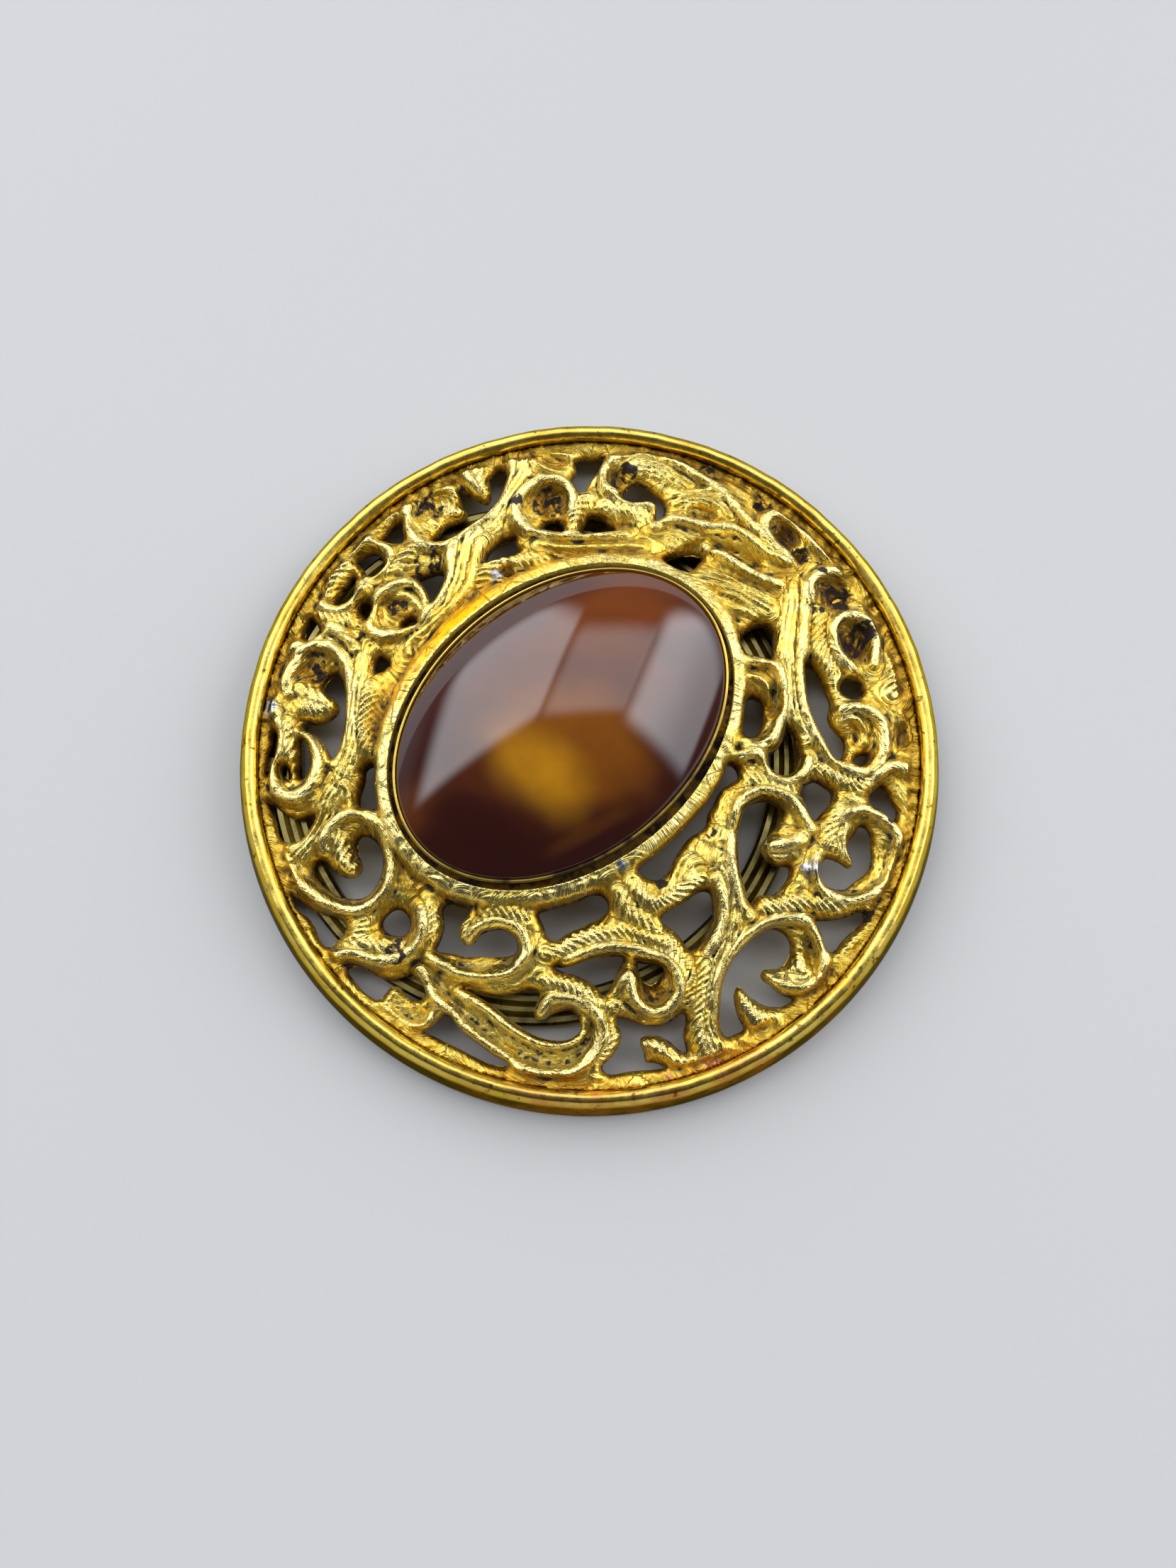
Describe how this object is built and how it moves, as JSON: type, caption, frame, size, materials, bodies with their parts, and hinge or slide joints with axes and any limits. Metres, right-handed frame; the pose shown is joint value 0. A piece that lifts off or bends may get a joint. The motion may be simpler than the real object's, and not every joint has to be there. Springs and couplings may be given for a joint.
{
  "type": "scroll-work brooch with oval cabochon",
  "caption": "Round domed openwork brooch with a flared rim, an oval brown cabochon set off centre, and a ridged clip ring hinged to its back.",
  "frame": {"origin": "on the rim's axis, at the plane of the rim's lower edge", "axes": "+Z out of the face towards the stone, +Y towards the upper edge as worn, +X to the viewer's right"},
  "size_m": [0.05, 0.05, 0.0098],
  "materials": {
    "cast_gold": "gold plated casting, tarnished recesses",
    "rim_gold": "gold plated, worn satin",
    "cup_gold": "gold plated sheet, polished",
    "agate": "polished banded stone",
    "cement": "matte",
    "clip_brass": "polished, slightly greenish",
    "pin_steel": "polished"
  },
  "bodies": {
    "front": {"rim_band": "rim_gold", "openwork_front": "cast_gold", "setting_cup": "cup_gold", "stone_cement": "cement", "cabochon": "agate", "hinge_plate": "clip_brass", "hinge_pin": "pin_steel", "spring_tongue": "pin_steel"},
    "clip": {"clip_ring": "clip_brass", "hinge_lug": "clip_brass"}
  },
  "joints": [
    {"name": "clip_hinge", "type": "hinge", "parent": "front", "child": "clip", "pos_m": [-0.0219, -0.0005, 0.00075], "axis": [0, 1, 0], "range_deg": [0, 100]}
  ]
}
